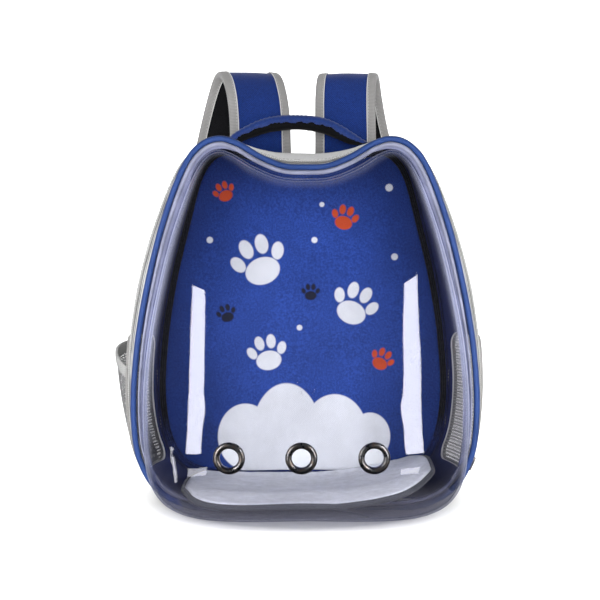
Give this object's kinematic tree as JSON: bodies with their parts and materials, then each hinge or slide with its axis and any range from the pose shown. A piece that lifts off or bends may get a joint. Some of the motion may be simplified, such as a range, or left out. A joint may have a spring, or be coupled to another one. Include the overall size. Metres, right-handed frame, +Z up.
{
  "type": "bubble pet carrier backpack",
  "caption": "Two-eared fabric backpack with a clear domed front, plush floor, side pocket, carry handle and padded shoulder straps, for carrying a small animal.",
  "frame": {"origin": "on the flat base, under the middle of the fabric body", "axes": "+Z up, -Y out of the dome towards the viewer, +X to the viewer's right"},
  "size_m": [0.3696, 0.3637, 0.4497],
  "materials": {
    "grey_cloth": "woven",
    "zip_tape": "woven",
    "navy_cloth": "woven",
    "blue_cloth": "woven",
    "blue_piping": "satin",
    "printed_cloth": "printed",
    "black_cloth": "woven",
    "back_cloth": "air mesh",
    "mesh_cloth": "mesh",
    "grey_ribbon": "ribbed",
    "plush": "plush",
    "black_webbing": "woven",
    "gunmetal": "satin",
    "black_plastic": "matte",
    "clear_plastic": "gloss"
  },
  "bodies": {
    "root": {"dome_shell": "clear_plastic", "eyelet_left": "gunmetal", "eyelet_centre": "gunmetal", "eyelet_right": "gunmetal", "front_piping": "blue_piping", "back_piping": "blue_piping", "front_gusset": "grey_cloth", "rear_gusset": "grey_cloth", "zip_tape": "zip_tape", "zip_slider": "gunmetal", "side_lining": "navy_cloth", "window_left": "mesh_cloth", "window_right": "mesh_cloth", "pocket_left": "mesh_cloth", "pocket_band": "grey_ribbon", "back_panel": "back_cloth", "inner_panel": "printed_cloth", "inner_binding": "black_cloth", "floor_mat": "plush", "handle_top": "blue_cloth", "handle_underside": "black_cloth", "strap_left": "blue_cloth", "strap_right": "blue_cloth", "strap_lining_left": "black_cloth", "strap_lining_right": "black_cloth", "strap_left_binding_left": "grey_ribbon", "strap_left_binding_right": "grey_ribbon", "strap_right_binding_left": "grey_ribbon", "strap_right_binding_right": "grey_ribbon", "webbing_left": "black_webbing", "webbing_right": "black_webbing", "adjuster_left": "black_plastic", "adjuster_right": "black_plastic", "anchor_left": "blue_cloth", "anchor_right": "blue_cloth"}
  },
  "joints": []
}
